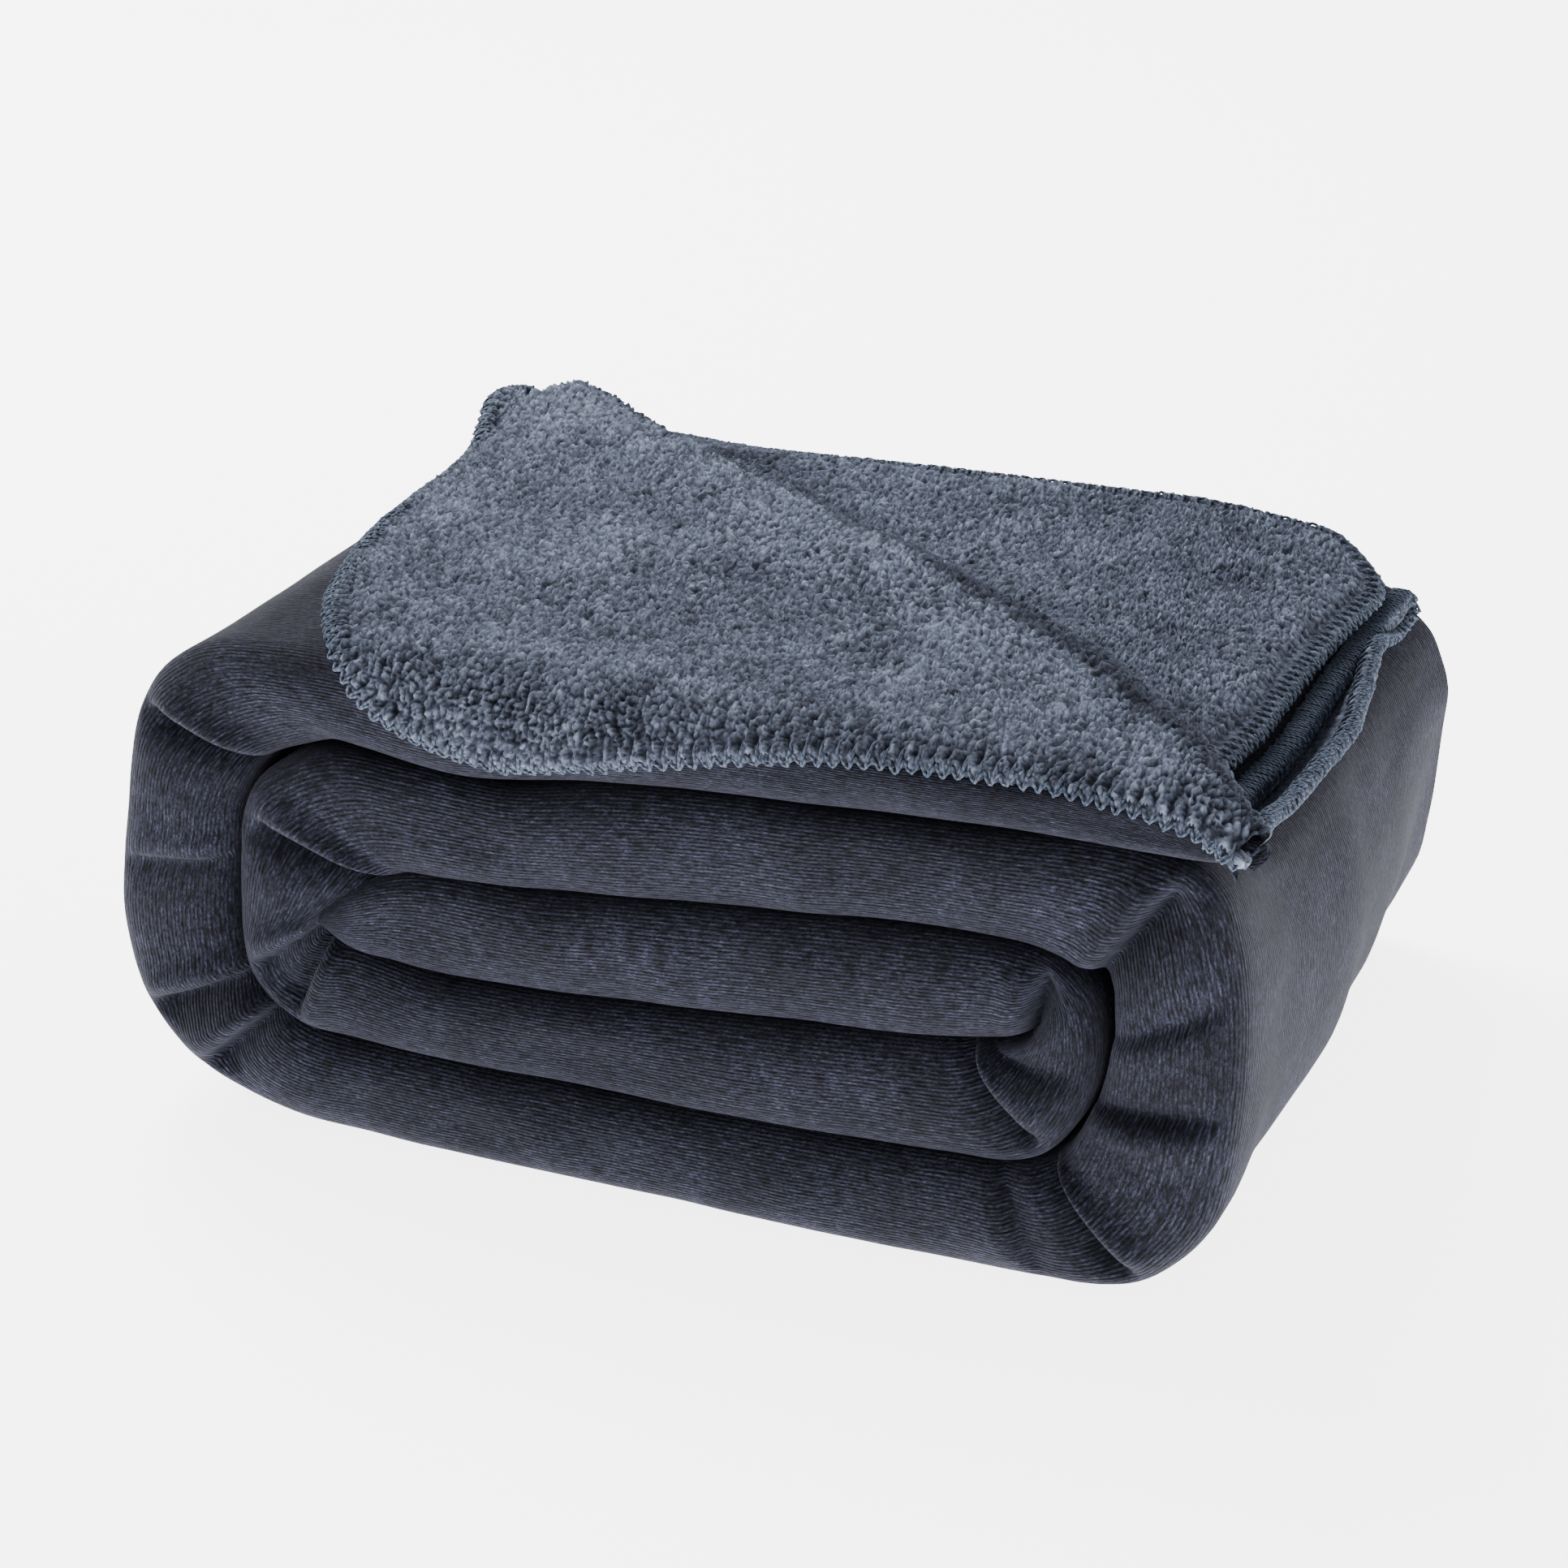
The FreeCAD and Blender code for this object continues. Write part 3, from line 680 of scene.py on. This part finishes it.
def fleece(u, v, seed):
    """Pile height in millimetres over (u, v) in millimetres, and the 'tip' value, which follows the tufts'
    height so that the crevices are painted in shade.
    """
    big = tufts(u, v, 3.5, seed)
    small = tufts(u + 1.3, v - 2.1, 2.3, seed + 20)
    clump = noise(np.stack([u, v], -1), 22, seed + 40)
    height = 3.4 * big + 1.1 * small + 1.0 * clump
    tip_and_shade = np.clip(0.04 + 0.78 * big + 0.26 * small + 0.12 * clump, 0, 1)
    return height, tip_and_shade


def normals(grid):
    """The direction out of a grid's surface at each of its points."""
    across = np.gradient(grid, axis=0)
    along = np.gradient(grid, axis=1)
    n = np.cross(across, along)
    return n / np.maximum(np.linalg.norm(n, axis=-1, keepdims=True), 1e-9)


def inside_outline(x, y, outline):
    """Which points lie inside a closed outline, by counting crossings."""
    inside = np.zeros(x.shape, bool)
    for (x0, y0), (x1, y1) in zip(outline, np.roll(outline, -1, axis=0)):
        crosses = (y0 > y) != (y1 > y)
        if y1 != y0:
            inside ^= crosses & (x < (x1 - x0) * (y - y0) / (y1 - y0) + x0)
    return inside


def distance_to(x, y, line, chunk=2500):
    """The distance from each point to a line of points, and the distance along the line to its foot."""
    flat = np.stack([x.ravel(), y.ravel()], -1)
    along = np.concatenate([[0], np.cumsum(np.linalg.norm(np.diff(line, axis=0), axis=1))])
    away = np.full(len(flat), 1e9)
    foot = np.zeros(len(flat))
    for k in range(0, len(flat), chunk):
        gap = np.linalg.norm(flat[k : k + chunk, None] - line[None], axis=-1)
        best = gap.argmin(1)
        away[k : k + chunk] = gap[np.arange(len(best)), best]
        foot[k : k + chunk] = along[best]
    return away.reshape(x.shape), foot.reshape(x.shape)


STITCH = 6.0  # distance between two overlock stitches
PILE_STEP = 1.05  # spacing of the grids that the tufts are made on


def pinched(height, tip_and_shade, away, foot):
    """The pile near a hem: pulled down by each stitch, with puffs between the stitches, and painted shade
    darkening it at each stitch.
    """
    puff = np.abs(np.sin(math.pi * foot / STITCH))
    near = 1 - smooth_step(away, 3.0, 11.0)
    height = height * (1 - near) + near * (0.5 * height + 3.6 * puff - 1.6)
    height = height - 2.2 * (1 - smooth_step(away, 0.0, 2.4))
    tip_and_shade = tip_and_shade * (1 - near) + near * tip_and_shade * (0.3 + 0.7 * puff)
    return height, tip_and_shade


# ---------------------------------------------------------------- the turned corner


def top_of_roll(x, y):
    """The height of the top layer's upper face at (x, y)."""
    layer = np.array([row[:2] for row in Lane.STATIONS[-10:]])
    z = np.interp(x, layer[:, 0], layer[:, 1])
    return relax(np.stack(np.broadcast_arrays(x, y, z), -1))[..., 2]


def drape(x, reach, height):
    """A point of cloth lying on the roll at the given height above it. reach is y on the top, and goes on
    as a distance round the front nose and down past it."""
    edge = FRONT_MM + NOSE
    past = np.maximum(edge - reach, 0)
    bend = NOSE + 6
    turn = np.minimum(past / bend, math.pi / 2)
    hang = np.maximum(past - bend * math.pi / 2, 0)
    y = np.where(past > 0, edge - (NOSE + height) * np.sin(turn), reach)
    crown = top_of_roll(x, np.maximum(reach, edge))
    z = np.where(past > 0, crown - NOSE + (NOSE + height) * np.cos(turn) - hang, crown + height)
    return np.stack([x, y, z], -1)


HEM_OUTLINE = spline(
    (
        (234, -168), (213, -166), (171, -164), (141, -164), (79, -168), (15, -180), (-30, -190), (-55, -192),
        (-84, -186), (-109, -172), (-130, -145), (-148, -112), (-163, -70), (-175, -25), (-183, 25),
        (-188, 68), (-194, 105), (-203, 136), (-202, 152), (-190, 164),
    ),
    1.0,
)
RIDGE = np.array(
    (
        # distance along the fold, crest's offset across it, crest's height over the flap
        (-10, 0, 1), (20, 6, 4), (60, 14, 9), (125, 18, 13), (245, 10, 14), (385, 2, 7), (460, -1, 0),
        (510, 0, -3), (545, 0, -3),
    ),
    float,
)
CLOTH = 9.0  # height of the flap's pile over the roll


def ridge_row(p):
    """The cross-section of the fold at the distance p along it: (offset, height over the roll's top),
    from the tuck under the fold to where the flap lies flat."""
    offset = np.interp(p, RIDGE[:, 0], RIDGE[:, 1])
    rise = np.interp(p, RIDGE[:, 0], RIDGE[:, 2])
    crest = CLOTH + rise
    return [
        (offset + 4, -4), (offset + 12, 0.25 * crest - 1), (offset + 14, 0.55 * crest),
        (offset + 9, 0.85 * crest), (offset, crest), (offset - 11, crest - 0.18 * rise),
        (offset - 27, CLOTH + 0.4 * rise), (offset - 52, CLOTH),
    ]


def raised_tip(x, reach):
    """How far the flap's back left corner stands up."""
    return 8 * np.exp(-(((x + 203) / 26) ** 2) - ((reach - 150) / 30) ** 2)


def flap_grid(step, lift):
    """The flap and its fold as a grid: rows along the fold, columns across it from the tuck. Gives the
    points, their flat places (x, reach) and their offset q across the fold. lift is how far under the
    pile's base they lie."""
    p = np.arange(-8, FOLD_MM + 14, step)
    count = int(86 / step)
    ridge = np.zeros((len(p), count, 2))
    for k, place in enumerate(p):
        line = spline(ridge_row(place), 1.0)
        along = np.concatenate([[0], np.cumsum(np.linalg.norm(np.diff(line, axis=0), axis=1))])
        t = np.linspace(0, along[-1], count)
        ridge[k, :, 0] = np.interp(t, along, line[:, 0])
        ridge[k, :, 1] = np.interp(t, along, line[:, 1])
    flat_part = np.arange(step, 235, step)
    q = np.concatenate([ridge[..., 0], ridge[:, -1:, 0] - flat_part[None]], 1)
    height = np.concatenate([ridge[..., 1], np.full((len(p), len(flat_part)), CLOTH)], 1)
    spread = START_MM + p[:, None, None] * FOLD + q[..., None] * OUT
    x, reach = spread[..., 0], spread[..., 1]
    wave = noise(np.stack([x, reach], -1), 62, 71) * 1.7 + noise(np.stack([x, reach], -1), 30, 72) * 0.7
    grid = drape(x, reach, height + raised_tip(x, reach) + wave * smooth_step(-q, 0, 40) - lift)
    return grid, x, reach, q


def flap_mask(x, reach):
    ends = np.vstack([HEM_OUTLINE, HEM_OUTLINE[-1:] + OUT * 60, HEM_OUTLINE[:1] + OUT * 60])
    return inside_outline(x, reach, ends)


def quads_kept(mask):
    return mask[:-1, :-1] & mask[1:, :-1] & mask[:-1, 1:] & mask[1:, 1:]


def turned_corner():
    """The corner's ribbed side, the base of its pile, and the pile."""
    made = {}
    layers = (("corner_lining", 3.0, 7.5, RIBBED), ("corner_base", 4.0, 3.0, SHERPA))
    for name, step, lift, material in layers:
        grid, x, reach, _ = flap_grid(step, lift)
        keep = quads_kept(flap_mask(x, reach))
        tip_and_shade = {"tip_and_shade": np.full(x.shape, 0.4)} if material is SHERPA else None
        uv = np.stack([x, reach], -1) * MM
        made[name] = grid_mesh(name, grid * MM, material, keep, uv, tip_and_shade)
    grid, x, reach, q = flap_grid(PILE_STEP, 0.0)
    mask = flap_mask(x, reach)
    away, foot = distance_to(x, reach, HEM_OUTLINE)
    height, tip_and_shade = fleece(x, reach, 100)
    height, tip_and_shade = pinched(height, tip_and_shade, away, foot)
    # Painted highlight along the fold's crest, and painted shade on the pile that turns under past it.
    crest = np.exp(-(((q + 4) / 16) ** 2))
    tip_and_shade = np.clip(tip_and_shade * (1 + 0.2 * crest) * (1 - 0.55 * smooth_step(q, 6, 13)), 0, 1)
    n = normals(grid)
    n *= np.sign(n[len(n) // 2, n.shape[1] // 2, 2])
    grid = grid + n * (height - 3.0)[..., None]
    uv = np.stack([x, reach], -1) * MM
    made["corner_pile"] = grid_mesh("corner_pile", grid * MM, SHERPA, quads_kept(mask), uv, {"tip_and_shade": tip_and_shade})
    return made


def second_ply_pile():
    """The pile seen beside the fold: the second ply's, on the right and at the back."""
    s = np.arange(LANE.length - 440, LANE.length + 0.01, PILE_STEP)
    y = np.arange(FRONT_MM + 8, BACK_MM - 3, PILE_STEP)
    grid = strip_grid([(0.2, depth, 0.0) for depth in y], s)
    x, yy = grid[..., 0], grid[..., 1]
    flat_s = s[:, None] + 0 * yy
    away, foot = to_hem(flat_s, yy)
    q = (np.stack([x, yy], -1) - START_MM) @ OUT
    mask = (away > 0) & (q > -12)
    height, tip_and_shade = fleece(flat_s, yy, 300)
    height, tip_and_shade = pinched(height, tip_and_shade, away, foot)
    grid[..., 2] += height - 2.5 - 7.0 * (1 - smooth_step(away, 0, 12)) ** 2
    grid[..., 2] += noise(np.stack([x, yy], -1), 48, 61) * 1.2
    # Painted shadow of the fold: the pile is darker close beside the crest.
    shade = 1 - 0.6 * (1 - smooth_step(q, 22, 78))
    grid[..., 2] -= 4.0 * (1 - smooth_step(q, 10, 80))
    uv = np.stack([flat_s, yy], -1) * MM
    return grid_mesh("second_ply_pile", grid * MM, SHERPA, quads_kept(mask), uv, {"tip_and_shade": tip_and_shade * shade})


def lowest_ply_pile():
    """The pile in the trough at the strip's open end."""
    s = np.arange(LANE.length - 90, LANE.length - 1, 1.25)
    y = np.arange(FRONT_MM + 14, BACK_MM - 12, 1.25)
    grid = strip_points(s[:, None], 0.8, y[None, :])
    flat_s = s[:, None] + 0 * y[None, :]
    height, tip_and_shade = fleece(flat_s, grid[..., 1], 700)
    height, tip_and_shade = pinched(height, tip_and_shade, LANE.length - flat_s, grid[..., 1])
    grid[..., 2] += height - 2.0
    # Painted shade in the trough: the pile darker away from the rim.
    depth = 0.45 + 0.55 * smooth_step(flat_s - LANE.length, -40, -4)
    uv = np.stack([flat_s, grid[..., 1]], -1) * MM
    return grid_mesh("lowest_ply_pile", grid * MM, SHERPA, None, uv, {"tip_and_shade": tip_and_shade * depth})


corner = turned_corner()
second_pile = second_ply_pile()
lowest_pile = lowest_ply_pile()


def ride_fold(piece):
    """Bakes a piece's transform into its mesh; the piece is not bent with the corner."""
    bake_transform(piece)


for piece in corner.values():
    ride_fold(piece)
for piece in (second_pile, lowest_pile):
    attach(piece, "roll")

# ---------------------------------------------------------------- hems


def unit(v):
    return v / np.maximum(np.linalg.norm(v, axis=-1, keepdims=True), 1e-9)


def tube(path, radius, sides):
    """A round tube along a path: points, quads and uv. radius is one number or one for each point."""
    tangent = unit(np.gradient(path, axis=0))
    side = unit(np.cross(tangent, np.array([0.31, 0.52, 0.79])))
    other = np.cross(tangent, side)
    turn = np.arange(sides) * 2 * math.pi / sides
    ring = side[:, None] * np.cos(turn)[None, :, None] + other[:, None] * np.sin(turn)[None, :, None]
    points = path[:, None] + ring * np.broadcast_to(radius, (len(path),))[:, None, None]
    along = np.concatenate([[0], np.cumsum(np.linalg.norm(np.diff(path, axis=0), axis=1))])
    uv = np.stack(np.broadcast_arrays(along[:, None], turn[None] / (2 * math.pi)), -1)
    index = np.arange(len(path) * sides).reshape(len(path), sides)
    around = np.roll(index, -1, axis=1)
    quads = np.stack([index[:-1], around[:-1], around[1:], index[1:]], -1).reshape(-1, 4)
    return points.reshape(-1, 3), quads, uv.reshape(-1, 2)


def stitched(line, inward, up, pattern, pitch, spacing):
    """A yarn's path along a hem, sampled at about the spacing. pattern holds the (along, in, up) points
    of one stitch in millimetres, with along from 0 to pitch."""
    at = np.concatenate([[0], np.cumsum(np.linalg.norm(np.diff(line, axis=0), axis=1))])
    count = int(at[-1] / pitch)
    pattern = np.array(pattern, float)
    local = []
    for k in range(count):
        shaken = pattern + rng.normal(0, 0.22, pattern.shape) * [1, 1.4, 0.6]
        shaken[:, 0] += k * pitch
        local.append(shaken)
    local = spline(np.vstack(local), spacing)
    place = np.clip(local[:, 0], 0, at[-1])
    frame_at = [np.stack([np.interp(place, at, f[:, k]) for k in range(3)], -1) for f in (line, inward, up)]
    return frame_at[0] + frame_at[1] * local[:, 1:2] + frame_at[2] * local[:, 2:3]


OVERLOCK = (
    (0.0, 8.5, -0.5), (0.5, 6.0, 2.6), (1.2, 2.5, 3.4), (2.0, -0.6, 2.2), (2.8, -2.6, 0.2), (3.4, -0.8, -2.6),
    (4.2, 3.0, -3.2), (5.2, 7.0, -2.4),
)
CHAIN = (
    (0.0, 0.6, 2.6), (1.4, -1.8, 1.9), (3.0, -3.0, 0.4), (4.6, -1.8, 1.7), (5.6, 0.2, 2.6),
)
FLAT_STITCH = ((0.0, 8.0, 0.6), (0.7, 4.0, 1.3), (1.3, 0.2, 1.1), (1.8, -1.0, -0.4))


def yarn_piece(name, paths, radius=0.62, sides=6):
    """One piece holding several yarns."""
    points, quads, uvs, total = [], [], [], 0
    for path in paths:
        p, q, uv = tube(path, radius, sides)
        points.append(p)
        quads.append(q + total)
        uvs.append(uv)
        total += len(p)
    uv = np.vstack(uvs) * [MM, 1]
    return face_mesh(name, np.vstack(points) * MM, np.vstack(quads), YARN, uv)


def rim_piece(name, line, inward, thick=2.9, pitch=STITCH, sink=1.6):
    """The rolled pile along a hem, in puffs between the stitches."""
    at = np.concatenate([[0], np.cumsum(np.linalg.norm(np.diff(line, axis=0), axis=1))])
    fine = np.arange(0, at[-1], 0.8)
    centre = np.stack([np.interp(fine, at, (line + inward * sink)[:, k]) for k in range(3)], -1)
    puff = np.abs(np.sin(math.pi * fine / pitch)) ** 0.7
    tapered = smooth_step(np.minimum(fine, fine[-1] - fine), -0.6, 6)
    points, quads, uv = tube(centre, thick * (0.72 + 0.32 * puff) * tapered, 14)
    rough, tip_and_shade = fleece(uv[:, 0], uv[:, 1] * 18, 500)
    spine = np.repeat(centre, 14, axis=0)
    points = points + unit(points - spine) * (0.35 * rough[:, None] - 0.6) * np.repeat(tapered, 14)[:, None]
    # Painted shade at each stitch, between the puffs.
    shade = tip_and_shade * (0.35 + 0.65 * np.repeat(puff, 14))
    return face_mesh(name, points * MM, quads, SHERPA, uv * [MM, 0.018], {"tip_and_shade": shade})


def hem_frame(line, within):
    """Inward and upward directions along a hem. within is the same line moved a little into the cloth."""
    along = unit(np.gradient(line, axis=0))
    inward = unit(within - line)
    up = unit(np.cross(along, inward))
    return inward, up * np.sign(up[:, 2:3].mean())


def flap_edge(flat):
    x, reach = flat.T
    return drape(x, reach, CLOTH - 4.5 + raised_tip(x, reach))


def corner_hem():
    """The hem along the turned corner's front and left edges."""
    flat = HEM_OUTLINE
    middle = np.array([60.0, 0.0])
    tangent = unit(np.gradient(flat, axis=0))
    normal = np.stack([tangent[:, 1], -tangent[:, 0]], -1)
    normal *= np.sign(np.sum(normal * (middle - flat), -1, keepdims=True))
    line = flap_edge(flat)
    inward, up = hem_frame(line, flap_edge(flat + normal * 4))
    return line, inward, up * np.sign(up[len(up) // 4, 2])


turned = corner_hem()
corner_paths = [stitched(*turned, OVERLOCK, STITCH, 0.8), stitched(*turned, CHAIN, STITCH, 0.9)]
hems = {
    "corner_rim": rim_piece("corner_rim", *turned[:2]),
    "corner_yarn": yarn_piece("corner_yarn", corner_paths),
}
for piece in hems.values():
    ride_fold(piece)


def second_hem_line():
    """The second ply's hem: along its end, round its corner and on along the back."""
    y_end = np.arange(FRONT_MM + 14, BACK_MM - 3 - CORNER, 1.5)
    turn = np.linspace(0, math.pi / 2, 40)[1:-1]
    s_turn = LANE.length - CORNER + CORNER * np.cos(turn)
    y_turn = BACK_MM - 3 - CORNER + CORNER * np.sin(turn)
    s_back = np.arange(LANE.length - CORNER, 4, -2.0)
    s = np.concatenate([np.full(len(y_end), LANE.length), s_turn, s_back])
    y = np.concatenate([y_end, y_turn, np.full(len(s_back), BACK_MM - 3)])
    s_in = np.concatenate([np.full(len(y_end), -1.0), -np.cos(turn), np.zeros(len(s_back))])
    y_in = np.concatenate([np.zeros(len(y_end)), -np.sin(turn), np.full(len(s_back), -1.0)])
    return strip_hem_along(s, y, 0.33, s_in, y_in)


def strip_hem_along(s, y, w, s_in, y_in):
    """A hem through the places (s, y) of the strip, at the fraction w of the way to its inside. s_in and
    y_in point from each place into the cloth."""
    line = strip_points(s, w, y)
    inward, _ = hem_frame(line, strip_points(s + 4 * s_in, w, y + 4 * y_in))
    outside = strip_points(s, w - 0.1, y) - strip_points(s, w + 0.1, y)
    up = unit(outside - inward * np.sum(outside * inward, -1, keepdims=True))
    return line, inward, up


def end_hem_line(w, y_from, y_to, s_at, sense):
    """A ply's hem across the strip's outer or inner end."""
    y = np.arange(y_from, y_to, 1.5)
    return strip_hem_along(0 * y + s_at, y, w, 0 * y + sense, 0 * y)


def bridged(first, then):
    """One hem from two, with a smooth bend from the end of the first to the start of the other."""
    t = np.linspace(0, 1, 26)[1:-1, None]
    start, end = first[0][-1], then[0][0]
    reach = np.linalg.norm(end - start)
    leave = unit(start - first[0][-4]) * reach
    arrive = unit(then[0][3] - end) * reach
    line = (
        start * (2 * t**3 - 3 * t**2 + 1) + leave * (t**3 - 2 * t**2 + t)
        + end * (3 * t**2 - 2 * t**3) + arrive * (t**3 - t**2)
    )
    turned = [unit(first[k][-1] * (1 - t) + then[k][0] * t) for k in (1, 2)]
    return [np.vstack(parts) for parts in zip(first, (line, *turned), then)]


def part_of(hem, start, stop, step=1):
    """A stretch of a hem, which a step of -1 turns round."""
    return [rows[start:stop:step] for rows in hem]


def on_roll(piece):
    """Puts a hem's piece on the roll and lists it."""
    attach(piece, "roll")
    hems[piece.name] = piece
    return piece


second = second_hem_line()
top_s = np.arange(4, LANE.length - 425, 2.0)
top_y = np.full(len(top_s), BACK_MM)
top_side = strip_hem_along(top_s, top_y, 0.1, 0 * top_s, 0 * top_s - 1)
third = end_hem_line(0.6, FRONT_MM + 20, BACK_MM - 8, LANE.length, -1.0)
inner = end_hem_line(0.5, FRONT_MM + 5, BACK_MM - 12, 1.0, 1.0)
rim = end_hem_line(0.9, FRONT_MM + 22, BACK_MM - 8, LANE.length - 1, -1.0)
lowest = bridged(part_of(turned, 14, 0, -1), rim)
lowest = bridged(lowest, part_of(third, None, -8, -1))
for name, hem in (("second_ply", second), ("top_ply", top_side), ("lowest_ply", lowest)):
    on_roll(rim_piece(name + "_rim", *hem[:2]))
    paths = [stitched(*hem, OVERLOCK, STITCH, 1.4), stitched(*hem, CHAIN, STITCH, 1.4)]
    on_roll(yarn_piece(name + "_yarn", paths, 0.62, 5))
on_roll(rim_piece("third_ply_rim", *third[:2], 3.4))
raised = [(along, within, high + 3.2) for along, within, high in FLAT_STITCH]
on_roll(yarn_piece("third_ply_yarn", [stitched(*third, raised, 2.2, 1.2)], 0.6, 5))
on_roll(yarn_piece("inner_end_yarn", [stitched(*inner, OVERLOCK, STITCH, 1.4)], 0.62, 5))

# ---------------------------------------------------------------- the frame

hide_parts("face_cloth")
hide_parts("side_hem_yarn_top_ply")
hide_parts("side_hem_yarn_second_ply")
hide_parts("outer_end_hem_yarn")
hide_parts("inner_end_hem_yarn")
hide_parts("backing_cloth")
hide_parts("corner_face_cloth")
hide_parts("corner_backing_cloth")
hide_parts("corner_hem_yarn")
